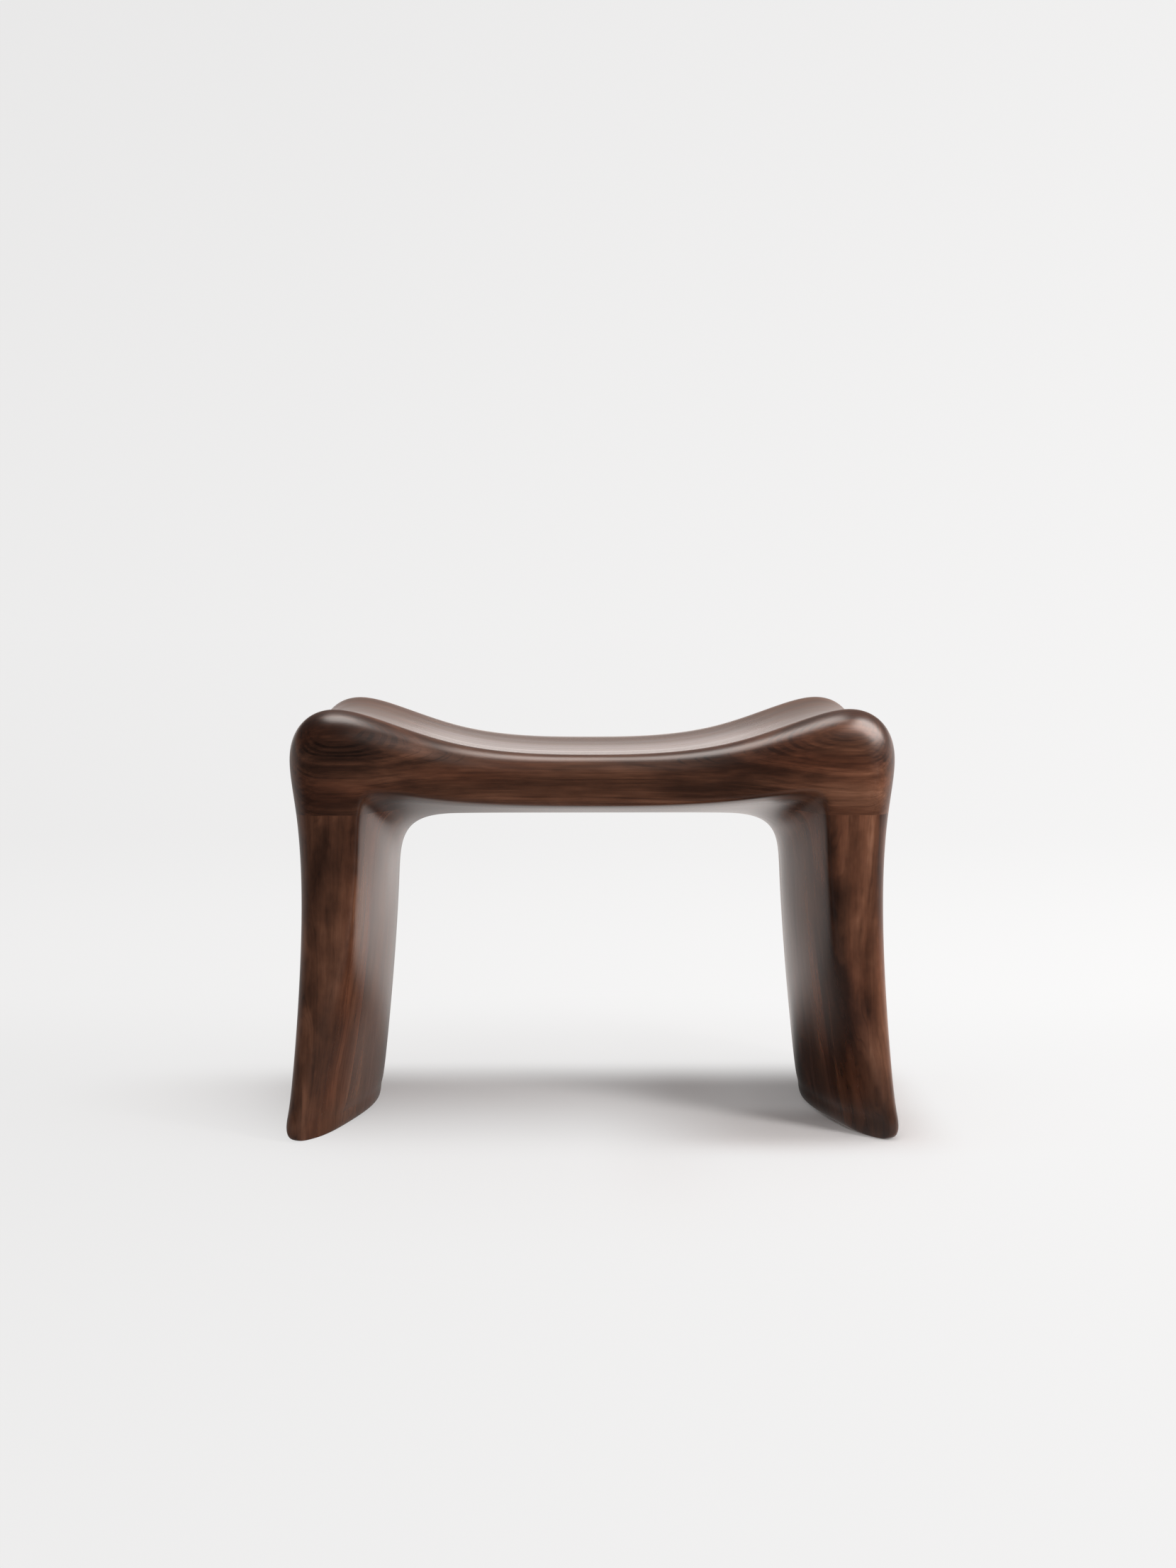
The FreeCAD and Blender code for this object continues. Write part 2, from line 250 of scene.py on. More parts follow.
def ring_points(section):
    """Cage points round a cross-section: top, front, belly, and back to the top."""
    lines = [section[line] for line in ("rim", "crease", "belly")]
    rim, crease, belly = (Vector((x, 0, z)) for x, z in lines)
    out = (rim - crease).normalized()
    depth = section["half_depth"]
    inner_depth = depth - section["draft"]
    rim_round = section["rim_round"]
    crease_round = section["crease_round"]
    fade = section["fade"]

    def at_depth(point, y):
        return Vector((point.x, -y, point.z))

    def top(y):
        hollow = section["dish"] * (1 - (y / (depth - rim_round)) ** 2)
        return at_depth(rim - out * hollow, y)

    def under(y):
        share = 1 - (y / inner_depth) ** section["fullness"]
        return at_depth(crease.lerp(belly, share), y)

    bevel = rim_round * (1 - COS_45)
    face_edge = at_depth(crease + out * crease_round, inner_depth)
    belly_edge = under(inner_depth - crease_round * blend(1, FADE_SPREAD, fade))
    crease_edge = at_depth(crease, inner_depth).lerp((face_edge + belly_edge) / 2, fade)
    front = [top(depth * step) for step in TOP_STEPS]
    front.append(at_depth(rim, depth - rim_round))
    front.append(at_depth(rim - out * bevel, depth - bevel))
    front.append(at_depth(rim - out * rim_round, depth))
    front += [face_edge, crease_edge, belly_edge]
    front += [under(inner_depth * step) for step in BELLY_STEPS]
    return front + [Vector((p.x, -p.y, p.z)) for p in front[-2:0:-1]]


def cage_rings():
    """Rings of cage points from the left sole over the seat to the right sole."""
    right = cross_sections()
    right += foot_sections(right.pop())
    right = [ring_points(section) for section in right]
    left = [[Vector((-p.x, p.y, p.z)) for p in ring] for ring in right[:0:-1]]
    return left + right


def choose(*pieces):
    """Select these pieces alone, the last one active."""
    bpy.ops.object.select_all(action="DESELECT")
    for piece in pieces:
        piece.select_set(True)
        bpy.context.view_layer.objects.active = piece


def copy_of(piece, name):
    choose(piece)
    bpy.ops.object.duplicate()
    twin = bpy.context.object
    twin.name = twin.data.name = name
    return twin


def discard(*pieces):
    choose(*pieces)
    bpy.ops.object.delete()


def lay_ring(arch, ring):
    """Move the chosen ring of points to its place, point by point."""
    cage = bmesh.from_edit_mesh(arch.data)
    number = cage.verts.layers.int["number"]
    for point in cage.verts:
        if point.select:
            point.co = ring[point[number]]
    bmesh.update_edit_mesh(arch.data)


def draw_cage(rings):
    """Draw the arch out of one ring, sole to sole. Its points keep their number in the ring."""
    bpy.ops.object.select_all(action="DESELECT")
    bpy.ops.mesh.primitive_circle_add(vertices=len(rings[0]), radius=FOOT_THICK)
    arch = bpy.context.object
    bpy.ops.object.mode_set(mode="EDIT")
    bpy.ops.mesh.select_all(action="SELECT")
    cage = bmesh.from_edit_mesh(arch.data)
    number = cage.verts.layers.int.new("number")
    for index, point in enumerate(cage.verts):
        point[number] = index
    lay_ring(arch, rings[0])
    for ring in rings[1:]:
        bpy.ops.mesh.extrude_edges_move()
        lay_ring(arch, ring)
    cage = bmesh.from_edit_mesh(arch.data)
    cage.verts.layers.int.remove(cage.verts.layers.int["number"])
    return arch


def carve_arch():
    """The whole stool in one skin: its cage with the soles closed, smoothed."""
    rings = cage_rings()
    arch = draw_cage(rings)
    bpy.ops.mesh.select_all(action="SELECT")
    bpy.ops.mesh.region_to_loop()
    bpy.ops.transform.edge_crease(value=1)
    bpy.ops.mesh.fill_holes(sides=len(rings[0]))
    bpy.ops.mesh.select_all(action="SELECT")
    bpy.ops.mesh.normals_make_consistent(inside=False)
    bpy.ops.object.mode_set(mode="OBJECT")
    bpy.ops.object.modifier_add(type="SUBSURF")
    smooth = arch.modifiers[-1]
    smooth.levels = smooth.render_levels = SMOOTHING
    bpy.ops.object.modifier_apply(modifier=smooth.name)
    return arch


def saw(piece, place, waste):
    """Saw straight through a piece and drop the side that waste points to."""
    choose(piece)
    bpy.ops.object.mode_set(mode="EDIT")
    bpy.ops.mesh.select_all(action="SELECT")
    bpy.ops.mesh.bisect(
        plane_co=place, plane_no=waste, use_fill=True, clear_outer=True, threshold=SAW_EXACTNESS)
    bpy.ops.object.mode_set(mode="OBJECT")


def cut_out(piece, tool):
    """Take the tool's shape out of a piece."""
    choose(piece)
    bpy.ops.object.modifier_add(type="BOOLEAN")
    cut = piece.modifiers[-1]
    cut.operation = "DIFFERENCE"
    cut.solver = "EXACT"
    cut.object = tool
    bpy.ops.object.modifier_apply(modifier=cut.name)


def leg_block(sign):
    """The block that the leg takes out of the seat: outside the shoulder and under the joint."""
    reach = CAD_BOX[1][0]
    bpy.ops.object.select_all(action="DESELECT")
    bpy.ops.mesh.primitive_cube_add(
        size=1, scale=(reach, KNOB_DEPTH * 2, JOINT_HEIGHT),
        location=(sign * (SHOULDER + reach / 2), 0, JOINT_HEIGHT / 2))
    return bpy.context.object


def mortise_tool(node):
    """A round-ended bar a little larger than the tenon that goes in the mortise."""
    low, high = (Vector(corner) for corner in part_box(node))
    middle = (low + high) / 2
    size = high - low
    radius = size.x / 2 + GLUE_ROOM
    bpy.ops.object.select_all(action="DESELECT")
    bpy.ops.mesh.primitive_cylinder_add(radius=radius, depth=size.z + 2 * TENON_ROOM, location=middle)
    tool = bpy.context.object
    bpy.ops.object.transform_apply(location=True)
    for sign in (-1, 1):
        bpy.ops.object.mode_set(mode="EDIT")
        bar = bmesh.from_edit_mesh(tool.data)
        for point in bar.verts:
            point.select = (point.co.y - middle.y) * sign > SAME_PLACE
        bar.select_flush_mode()
        bmesh.update_edit_mesh(tool.data)
        bpy.ops.transform.translate(value=(0, sign * (size.y - size.x) / 2, 0))
        bpy.ops.object.mode_set(mode="OBJECT")
    return tool


class Wire:
    """An output in a node tree. Sums on it become Math nodes."""

    def __init__(self, tree, output=None):
        self.tree = tree
        self.output = output

    def add(self, kind, settings, inputs, output=0):
        """Add a node of a kind: its settings first, then the values or wires of its sockets."""
        node = self.tree.nodes.new(kind)
        for name, value in settings.items():
            if name == "stops":
                while len(node.color_ramp.elements) < len(value):
                    node.color_ramp.elements.new(1)
                for stop, (place, colour) in zip(node.color_ramp.elements, value):
                    stop.position = place
                    stop.color = colour
            else:
                setattr(node, name, value)
        for name, value in inputs.items():
            if isinstance(value, Wire):
                self.tree.links.new(value.output, node.inputs[name])
            else:
                node.inputs[name].default_value = value
        return Wire(self.tree, node.outputs[output])

    def sum_of(self, operation, first, second):
        return self.add("ShaderNodeMath", {"operation": operation}, {0: first, 1: second})

    def __add__(self, other):
        return self.sum_of("ADD", self, other)

    __radd__ = __add__

    def __sub__(self, other):
        return self.sum_of("SUBTRACT", self, other)

    def __rsub__(self, other):
        return self.sum_of("SUBTRACT", other, self)

    def __mul__(self, other):
        return self.sum_of("MULTIPLY", self, other)

    __rmul__ = __mul__

    def __truediv__(self, other):
        return self.sum_of("DIVIDE", self, other)

    def __pow__(self, other):
        return self.sum_of("POWER", self, other)

    def floor(self):
        return self.sum_of("FLOOR", self, 0.0)

    def size(self):
        return self.sum_of("ABSOLUTE", self, 0.0)

    def over(self, limit):
        return self.sum_of("GREATER_THAN", self, limit)

    def step(self, low, high):
        """0 under low, 1 over high and a soft step between."""
        settings = {"interpolation_type": "SMOOTHSTEP"}
        return self.add("ShaderNodeMapRange", settings, {0: self, 1: low, 2: high, 3: 0.0, 4: 1.0})

    def axes(self):
        """The three parts of a vector."""
        return [self.add("ShaderNodeSeparateXYZ", {}, {0: self}, axis) for axis in "XYZ"]


class Finish:
    """A material with its coordinates at hand, made from noise and sums."""

    def __init__(self, name):
        self.material = bpy.data.materials.new(name)
        self.material.use_nodes = True
        self.tree = self.material.node_tree
        self.shader = self.tree.nodes["Principled BSDF"]
        self.start = Wire(self.tree)
        self.x, self.y, self.z = self.start.add("ShaderNodeTexCoord", {}, {}, "Object").axes()

    def noise(self, x, y, z, detail=2.0, roughness=0.5):
        """Even noise about 0, from -0.5 to 0.5, at a place given by three wires."""
        place = self.start.add("ShaderNodeCombineXYZ", {}, {0: x, 1: y, 2: z})
        inputs = {"Vector": place, "Scale": 1.0, "Detail": detail, "Roughness": roughness}
        return self.start.add("ShaderNodeTexNoise", {}, inputs, "Fac") - 0.5

    def streaks(self, place, detail=2.0, roughness=0.5):
        """Noise along one line, from -0.5 to 0.5."""
        inputs = {"W": place, "Scale": 1.0, "Detail": detail, "Roughness": roughness}
        return self.start.add("ShaderNodeTexNoise", {"noise_dimensions": "1D"}, inputs, "Fac") - 0.5

    def ramp(self, share, stops):
        stops = [(place, (*colour, 1)) for place, colour in stops]
        return self.start.add("ShaderNodeValToRGB", {"stops": stops}, {"Fac": share}, "Color")

    def mix(self, share, first, second):
        settings = {"data_type": "RGBA"}
        return self.start.add("ShaderNodeMix", settings, {0: share, 6: first, 7: second}, 2)

    def feed(self, socket, wire):
        self.tree.links.new(wire.output, self.shader.inputs[socket])

    def bump(self, height, depth):
        """Raise the grain by a depth in metres."""
        inputs = {"Height": height, "Distance": depth}
        self.feed("Normal", self.start.add("ShaderNodeBump", {}, inputs, "Normal"))


# From the darkest lines to the palest wood, and how the redder places differ.
WALNUT = (
    (0.00, (0.010, 0.0034, 0.0017)),
    (0.30, (0.036, 0.0126, 0.0058)),
    (0.55, (0.078, 0.0290, 0.0138)),
    (0.80, (0.138, 0.0560, 0.0290)),
    (1.00, (0.210, 0.0960, 0.0540)),
)
REDDER = (1.18, 0.92, 0.78)
RED_WALNUT = [(place, [c * more for c, more in zip(colour, REDDER)]) for place, colour in WALNUT]
TENON_WOOD = ((0.0, (0.23, 0.13, 0.065)), (1.0, (0.46, 0.30, 0.17)))
# Dark and light patches of the front boards: x, z, reach in x and in z, and how much lighter.
SEAT_PATCHES = (
    (-0.265, 0.405, 0.075, 0.045, -0.24),
    (-0.285, 0.345, 0.060, 0.040, -0.16),
    (-0.150, 0.368, 0.080, 0.028, -0.10),
    (-0.205, 0.338, 0.050, 0.022, -0.14),
    # Lighter along the rail's lower edge: a painted reflection of the floor.
    (-0.020, 0.350, 0.190, 0.014, 0.12),
    (0.120, 0.372, 0.090, 0.030, -0.21),
    (0.275, 0.350, 0.070, 0.045, 0.13),
    (0.285, 0.405, 0.050, 0.030, -0.02),
)
LEG_PATCHES = (
    (-0.275, 0.300, 0.050, 0.060, -0.04),
    # Lighter along the left leg's crease: partly redder wood, partly a painted highlight.
    (-0.238, 0.240, 0.011, 0.110, 0.18),
    (-0.270, 0.200, 0.040, 0.050, 0.05),
    (-0.285, 0.110, 0.030, 0.060, -0.10),
    # Lighter on the right leg's front: partly paler wood, partly painted light from the right.
    (0.268, 0.290, 0.045, 0.060, 0.17),
    (0.285, 0.180, 0.035, 0.090, 0.27),
    (0.290, 0.070, 0.035, 0.070, 0.24),
    # Darker along the right leg's crease: partly darker wood, partly painted shade.
    (0.245, 0.140, 0.022, 0.130, -0.14),
    (0.240, 0.250, 0.012, 0.120, -0.20),
)
# Figure that all the boards share: waves in a metre along and across the grain, detail, roughness.
RIPPLE = (11, 45, 2.0, 0.5)
LINE_BREAKS = (9, 80, 2.0, 0.5)
FLECKS = (20, 190, 3.0, 0.6)
FIBRE = (9, 430, 4.0, 0.65)
PORES = (70, 1500, 1.0, 0.5)
STRIPE_WAVER = (2, 4, 2.0, 0.5)
# Layers of growth to a broad band and to a thin dark line, and the share that the line takes.
BAND_LAYERS = 13.0
LINE_LAYERS = 3.0
LINE_WIDTH = 0.08
# Strength of the broad bands, what the pores take off the tone, and the inner corners' painted shade.
BANDED = 0.8
PORE_DARK = 0.03
CORNER_PAINTED_SHADE = 0.08
# The share of the figure that is lost in the inner corners and inside, where the wood is calmer.
CORNER_CALM = 0.8
INSIDE_BROAD_CALM = 0.6
INSIDE_FINE_CALM = 0.5
INSIDE_BUMP_CALM = 0.8
# Where the inner sides of the legs begin in x, and up to which height hands and clothes wear the wood.
LEG_INSIDE = (0.226, 0.240)
WORN_UP_TO = (0.395, 0.425)
# Figure that differs. swirl and mottle are given as above; warp and ripple are how many layers the
# waves move, patchy, grainy, lined and streaked the strength of mottle, fibre, lines and stripes.
# From edge on, behind the front face, the wood has stripes across the boards and is painted paler as
# painted light.
SEAT_GRAIN = SimpleNamespace(
    swirl=(2.6, 9, 2.0, 0.5), warp=17.0, ripple=4.0, mottle=(6.0, 21, 4.0, 0.6), patchy=0.9,
    grainy=0.45, lined=0.20, stripes=60.0, streaked=0.45, painted_lighter=0.40, edge=-0.168, patches=SEAT_PATCHES)
LEG_GRAIN = SimpleNamespace(
    swirl=(6.0, 9, 2.0, 0.5), warp=26.0, ripple=9.0, mottle=(12.0, 21, 4.0, 0.6), patchy=1.3,
    grainy=0.26, lined=0.12, stripes=34.0, streaked=0.90, painted_lighter=0.14, edge=-0.180, patches=LEG_PATCHES)
EDGE_FADE = 0.026
OIL_ROUGHNESS = 0.33
OIL_IOR = 1.45
GRAIN_DEPTH = 0.00001
SAWN_DEPTH = 0.0002


class Walnut(Finish):
    """Walnut glued up from boards. Each starts elsewhere in the figure, along and across the grain."""

    def __init__(self, name, grain):
        super().__init__(name)
        self.grain = grain
        self.board = (self.y / STAVE_THICK).floor() + STAVES / 2
        self.out = self.x.size()
        self.between = 1 - self.out.step(*LEG_INSIDE)

    def figure(self, length, width, detail, roughness):
        """Noise with one number of waves along the grain and another across it."""
        along = self.along * length
        return self.noise(along, self.across * width, self.y * width, detail, roughness)

    def oil(self, layer, corner, painted_light_and_shade):
        """Colour and gloss, from the layers of growth, the calm inner corner in painted shade and the
        inside painted paler.
        """
        grain = self.grain
        inside = self.y.step(grain.edge, grain.edge + EDGE_FADE)
        plain = 1 - corner * CORNER_CALM
        layer = layer + self.figure(*grain.swirl) * grain.warp
        layer = layer + self.figure(*RIPPLE) * grain.ripple
        bands = self.streaks(layer / BAND_LAYERS, 2.0, 0.55)
        lines = (1 - self.streaks(layer / LINE_LAYERS, 1.0).size() / LINE_WIDTH).step(0, 1)
        lines = lines * self.figure(*LINE_BREAKS).step(-0.14, 0.14)
        fibre = self.figure(*FIBRE)
        pores = self.figure(*PORES).step(0.14, 0.26)
        waver = self.figure(*STRIPE_WAVER) * 4
        stripes = self.streaks(self.y * grain.stripes + waver, 3.0, 0.6)
        broad = bands * BANDED + self.figure(*grain.mottle) * grain.patchy
        fine = (self.figure(*FLECKS) + fibre) * grain.grainy
        # Painted light: behind the front face the tone is paler.
        tone = 0.50 + inside * painted_light_and_shade + broad * (1 - inside * INSIDE_BROAD_CALM) * plain
        # Painted shade: the inner corners are darker.
        tone = tone - corner * CORNER_PAINTED_SHADE + inside * stripes * grain.streaked
        tone = tone + fine * (1 - inside * INSIDE_FINE_CALM) * plain
        tone = tone - lines * grain.lined * plain - pores * PORE_DARK
        self.colour(tone + self.patches())
        worn = inside * (1 - self.z.step(*WORN_UP_TO))
        rough = OIL_ROUGHNESS + pores * 0.03 + inside * (stripes * 0.14 - 0.02) - worn * 0.09
        self.feed("Roughness", rough)
        raised = fibre * 0.5 - pores * 0.4 - lines * 0.2
        self.bump(raised * (1 - inside * INSIDE_BUMP_CALM), GRAIN_DEPTH)
        self.shader.inputs["IOR"].default_value = OIL_IOR

    def patches(self):
        """How much lighter the front board is at each place: wood tone, and painted light and shade
        where marked.
        """
        lighter = 0.0
        for x, z, wide, high, more in self.grain.patches:
            off_x = (self.x - x) / wide
            off_z = (self.z - z) / high
            lighter = lighter + (1 - off_x * off_x - off_z * off_z).step(0, 1) * more
        return (1 - self.board.over(0.5)) * lighter

    def colour(self, tone):
        """Brown by tone, redder in places."""
        place = self.along * 3.1 + 7.0
        red = self.noise(place, self.across * 21, self.y * 21).step(-0.08, 0.20) * 0.7
        self.feed("Base Color", self.mix(red, self.ramp(tone, WALNUT), self.ramp(tone, RED_WALNUT)))


def seat_walnut():
    """Oiled walnut with the grain along the seat, painted paler on top as painted light from above."""
    wood = Walnut("seat_walnut", SEAT_GRAIN)
    wood.along = wood.x + wood.board * 1.13
    wood.across = wood.z + wood.board * 0.47
    layer = wood.z * 680 - wood.y * 730 + wood.x * 18 + wood.board * 37
    # The inner corner under the seat: calmer figure and painted shade.
    corner = wood.between * (1 - wood.z.step(0.338, 0.350)) * wood.out.step(0.15, 0.18)
    # Painted light: the seat's top is paler where the light from above falls.
    wood.oil(layer, corner, SEAT_GRAIN.painted_lighter * wood.z.step(0.350, 0.385))
    return wood.material


def leg_walnut():
    """Oiled walnut with upright grain, and painted shade at the right foot's inside."""
    wood = Walnut("leg_walnut", LEG_GRAIN)
    side = wood.x.over(0.0)
    wood.along = wood.z + wood.board * 0.83 + side * 2.3
    wood.across = wood.x + wood.board * 0.31 + side * 0.77
    layer = wood.x * 420 + wood.y * 560 + wood.board * 41 + side * 170
    # The inner corner at the top of the legs: calmer figure and painted shade.
    corner = wood.between * wood.z.step(0.300, 0.325)
    # Painted light and shade: the legs are paler behind the front face, and darker low on the right
    # foot's inside, in the shadow there.
    wood.oil(layer, corner, LEG_GRAIN.painted_lighter - 0.30 * side * (1 - wood.z.step(0.03, 0.16)))
    return wood.material


def tenon_hardwood():
    """The sawn wood of the loose tenons."""
    wood = Finish("tenon_wood")
    fibre = wood.noise(wood.z * 14, wood.x * 420, wood.y * 420, 3.0)
    band = wood.noise(wood.z * 3, wood.x * 60, wood.y * 60)
    wood.feed("Base Color", wood.ramp(0.5 + fibre * 0.6 + band * 0.8, TENON_WOOD))
    wood.feed("Roughness", 0.62 + fibre * 0.15)
    wood.bump(fibre, SAWN_DEPTH)
    return wood.material


def coat(piece, finish):
    piece.data.materials.clear()
    piece.data.materials.append(finish)


def saw_stave(arch, stave):
    """A copy of the arch between two glue lines. The first and last keep their carved faces."""
    board = copy_of(arch, "board")
    if stave > 1:
        saw(board, (0, (stave - 1 - STAVES / 2) * STAVE_THICK, 0), (0, -1, 0))
    if stave < STAVES:
        saw(board, (0, (stave - STAVES / 2) * STAVE_THICK, 0), (0, 1, 0))
    return board


def saw_leg(board, side, stave):
    """A copy of the board's leg: under the joint and outside the shoulder."""
    sign = SIDES[side]
    leg = copy_of(board, f"{side}_leg_board_{stave}")
    saw(leg, (0, 0, JOINT_HEIGHT), (0, 0, 1))
    saw(leg, (sign * SHOULDER, 0, 0), (-sign, 0, 0))
    return leg


def cut_mortise(seat, leg, tenon):
    """Cut the room for a loose tenon into the seat's stave and the leg's."""
    tool = mortise_tool(tenon)
    cut_out(leg, tool)
    cut_out(seat, tool)
    discard(tool)


def dress(piece, node, slot, finish):
    """Shade a piece, give it its wood and put it in its node's place."""
    choose(piece)
    bpy.ops.object.shade_smooth_by_angle(angle=SHADE_ANGLE)
    bpy.ops.object.modifier_add(type="WEIGHTED_NORMAL")
    even = piece.modifiers[-1]
    even.keep_sharp = True
    bpy.ops.object.modifier_apply(modifier=even.name)
    coat(piece, finish)
    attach(piece, "root")
    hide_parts(node)


def make_stool():
    """Carve the stool, saw it into staves, join them with tenons and oil them."""
    seat_wood = seat_walnut()
    leg_wood = leg_walnut()
    tenon_wood = tenon_hardwood()
    arch = carve_arch()
    blocks = [leg_block(sign) for sign in SIDES.values()]
    made = []
    for stave in range(1, STAVES + 1):
        seat = saw_stave(arch, stave)
        legs = {side: saw_leg(seat, side, stave) for side in SIDES}
        for block in blocks:
            cut_out(seat, block)
        seat.name = seat.data.name = f"seat_board_{stave}"
        for side, leg in legs.items():
            if 1 < stave < STAVES:
                cut_mortise(seat, leg, f"{side}_tenon_{stave - 1}")
            made.append((leg, f"{side}_leg_stave_{stave}", "leg_wood", leg_wood))
        made.append((seat, f"seat_stave_{stave}", "seat_wood", seat_wood))
    discard(arch, *blocks)
    for piece in made:
        dress(*piece)
    for side in SIDES:
        for number in range(1, STAVES - 1):
            coat(bpy.data.objects[f"{side}_tenon_{number}"], tenon_wood)


# The paper's white, how much it rises to the right, falls upwards and rises in a band behind the stool.
PAPER_WHITE = 0.875
PAPER_SLOPE = 0.12
PAPER_FALL = 0.12
PAPER_BAND = 0.035
PAPER_TINT = (1, 0.994, 0.992)
SHEEN_TINT = (1, 0.94, 0.91)
BANK_TINT = (1, 0.91, 0.86)
FLOOR_COLOUR = (0.92, 0.878, 0.866, 1)
FLOOR_SIZE = 60
# Softboxes: name, place, the point that they look at, width and height, and watts.
# Lamps light the wood without showing in it, and banks show only in its sheen.
LAMPS = (
    ("key_strip", (1.36, -1.19, 0.95), (0, 0, 0.95), (0.35, 1.5), 21),
    ("overhead_softbox", (0.10, 0.00, 2.40), (0.10, 0.00, 0), (1.0, 0.6), 11),
)
BANKS = (
    ("top_bank", (-0.28, 0.62, 2.50), (-0.05, -0.17, 0.4), (1.2, 1.2), 35),
    ("side_bank", (0.87, -0.29, 1.16), (0.28, -0.18, 0.42), (0.95, 0.95), 35),
    ("front_bank", (0.48, -1.57, 1.93), (-0.18, -0.18, 0.39), (0.9, 0.9), 2.2),
)
# The photograph's view, a little above the seat and a little left of its middle.
CAMERA_PLACE = (-0.039, -2.362, 0.5445)
CAMERA_DIP = math.radians(4.727)
CAMERA_TURN = math.radians(-0.886)
CAMERA_LENS = 50
SENSOR_HEIGHT = 36


def tinted(brightness, tint):
    """A colour at a brightness."""
    return brightness.add("ShaderNodeVectorMath", {"operation": "SCALE"}, {0: tint, "Scale": brightness})


def paper_colour(mirrored, plain, sheen):
    """The white of the paper, or what the wood mirrors of it."""
    inputs = {0: mirrored, 6: tinted(plain, PAPER_TINT), 7: tinted(sheen, SHEEN_TINT)}
    return mirrored.add("ShaderNodeMix", {"data_type": "RGBA"}, inputs, 2)


def rays(start):
    """Whether the camera sees the paper, also through glass, and whether the wood mirrors it."""
    seen = start.add("ShaderNodeLightPath", {}, {}, "Is Camera Ray")
    seen = seen + start.add("ShaderNodeLightPath", {}, {}, "Is Transmission Ray")
    return seen, start.add("ShaderNodeLightPath", {}, {}, "Is Glossy Ray")


def floor_white(paper, reach):
    """The floor's white as the camera sees it."""
    band = PAPER_BAND * paper.y.step(0.1, 0.7) * (1 - paper.y.step(0.7, 3.0))
    return PAPER_WHITE + PAPER_SLOPE * paper.x / (reach + 1.0) + band


def floor_sheen(paper, reach):
    """What the wood mirrors of the floor: dark under the stool for its shadow, and dark in front of it.
    """
    near = 0.44 - 0.40 * paper.x.step(-0.10, 0.12)
    far = (reach * (1 + 0.25 * paper.x.step(0.0, 0.3))).step(0.22, 0.62)
    sheen = (near + (1 - near) * far) * (0.03 + 0.97 * paper.y.step(-0.8, 0.0))
    leaning = 0.35 * paper.x.step(-0.3, 0.05) + 0.40 * paper.x.step(0.1, 0.35)
    leaning = leaning - 0.35 * paper.x.step(0.5, 0.9)
    return sheen * (0.50 + leaning)


def floor_shade(paper, reach):
    """How much of the stool's shadow the floor shows. Elsewhere its white glow hides the shadow, as
    painted light.
    """
    shade = (1 - reach.step(0.26, 0.66)) * (0.60 + 0.40 * paper.x.step(-0.40, -0.22))
    behind = 0.85 * paper.y.step(0.06, 0.22)
    outside = 0.85 * paper.x.step(0.31, 0.39)
    left = (0.85 - 0.62 * paper.y.step(-0.28, 0.10)) * (1 - paper.x.step(-0.02, 0.20))
    front = 0.75 * paper.x.step(0.0, 0.15) * (1 - paper.y.step(-0.27, -0.17))
    right = 0.14 * paper.x.step(0.08, 0.18) * paper.y.step(-0.10, -0.02)
    for glowed_over in (behind, outside, left, front, right):
        shade = shade * (1 - glowed_over)
    return shade


def studio_floor():
    """A pale floor that runs out into the white of the room."""
    bpy.ops.object.select_all(action="DESELECT")
    bpy.ops.mesh.primitive_plane_add(size=FLOOR_SIZE)
    floor = bpy.context.object
    floor.name = "studio_floor"
    paper = Finish("studio_paper")
    paper.shader.inputs["Base Color"].default_value = FLOOR_COLOUR
    paper.shader.inputs["Roughness"].default_value = 0.9
    paper.shader.inputs["Specular IOR Level"].default_value = 0.0
    paper.material.cycles.emission_sampling = "NONE"
    reach = (paper.x * paper.x + paper.y * paper.y) ** 0.5
    seen, mirrored = rays(paper.start)
    colour = paper_colour(mirrored, floor_white(paper, reach), floor_sheen(paper, reach))
    glow = paper.start.add("ShaderNodeEmission", {}, {"Color": colour})
    lit = Wire(paper.tree, paper.shader.outputs[0])
    glowing = seen * (1 - floor_shade(paper, reach)) + mirrored
    shown = paper.start.add("ShaderNodeMixShader", {}, {0: glowing, 1: lit, 2: glow})
    paper.tree.links.new(shown.output, paper.tree.nodes["Material Output"].inputs["Surface"])
    floor.data.materials.append(paper.material)


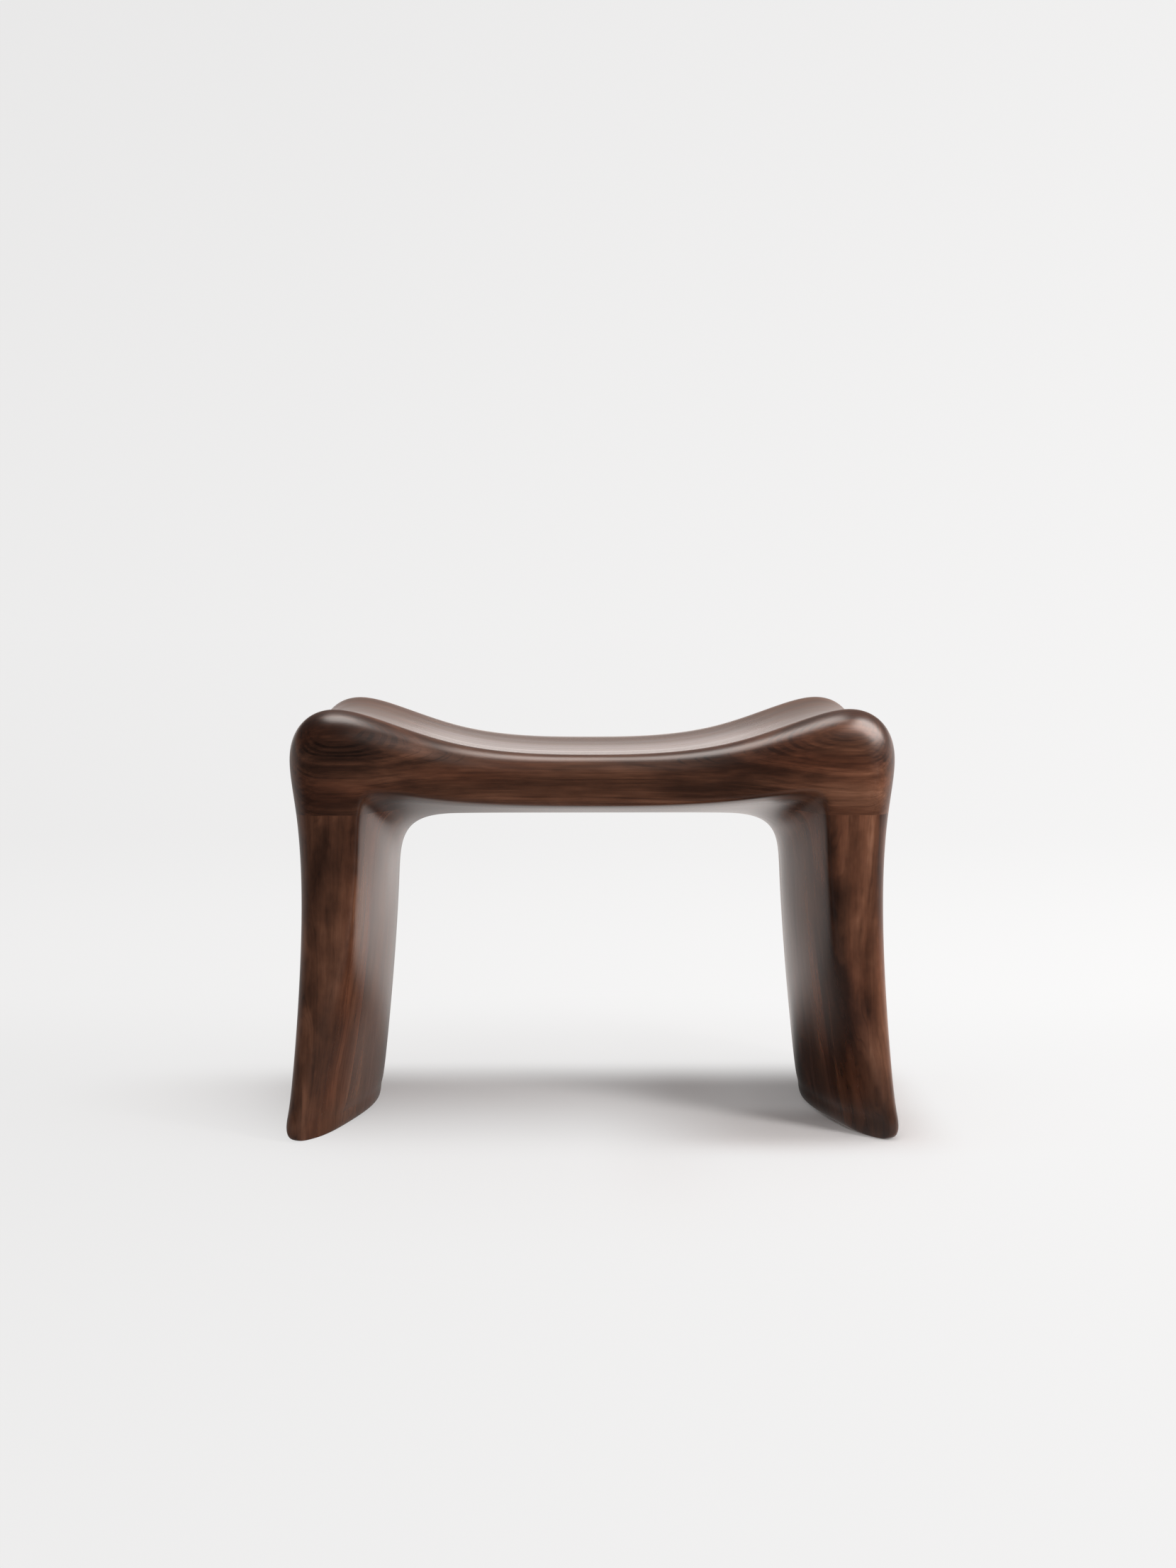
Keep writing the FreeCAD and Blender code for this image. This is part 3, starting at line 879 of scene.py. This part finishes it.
def studio_room():
    """A white room: soft light on the wood, and in its sheen a bright backdrop low behind the stool."""
    world = bpy.data.worlds.new("studio_room")
    bpy.context.scene.world = world
    world.use_nodes = True
    world.cycles.sampling_method = "NONE"
    start = Wire(world.node_tree)
    across, away, up = start.add("ShaderNodeTexCoord", {}, {}, "Generated").axes()
    seen, mirrored = rays(start)
    white = PAPER_WHITE + PAPER_SLOPE * across - PAPER_FALL * up
    low = 1 - up.step(0.12, 0.25)
    side = 0.25 + 0.75 * across.step(-0.8, 0.0) - 0.25 * across.step(0.1, 0.5)
    backdrop = 0.18 * (1 - up.step(0.6, 0.9)) + low * 1.3
    walls = 0.15 * (-1 * across).step(0.55, 0.95) + 0.10 * across.step(0.55, 0.95)
    sheen = 0.02 + away.step(-0.35, 0.45) * side * backdrop + low * walls
    soft = 0.41 + 0.10 * up.step(-0.1, 0.6) - 0.26 * away
    colour = paper_colour(mirrored, seen * white + (1 - seen) * soft, sheen)
    world.node_tree.links.new(colour.output, world.node_tree.nodes["Background"].inputs["Color"])


def softbox(name, place, aim, size, watts):
    """A rectangular softbox that looks at a point."""
    bpy.ops.object.light_add(type="AREA", location=place)
    lamp = bpy.context.object
    lamp.name = lamp.data.name = name
    lamp.data.shape = "RECTANGLE"
    lamp.data.size, lamp.data.size_y = size
    lamp.data.energy = watts
    lamp.rotation_euler = (Vector(aim) - Vector(place)).to_track_quat("-Z", "Y").to_euler()
    return lamp


def studio_light():
    for lamp in LAMPS:
        softbox(*lamp).visible_glossy = False
    for bank in BANKS:
        light = softbox(*bank)
        light.visible_diffuse = False
        light.data.color = BANK_TINT


def set_camera():
    bpy.ops.object.camera_add(
        location=CAMERA_PLACE, rotation=(math.radians(90) - CAMERA_DIP, 0, CAMERA_TURN))
    camera = bpy.context.object
    camera.data.lens = CAMERA_LENS
    camera.data.sensor_fit = "VERTICAL"
    camera.data.sensor_height = SENSOR_HEIGHT
    bpy.context.scene.camera = camera


set_camera()
studio_floor()
studio_room()
studio_light()
make_stool()
bpy.context.scene.view_settings.view_transform = "Standard"
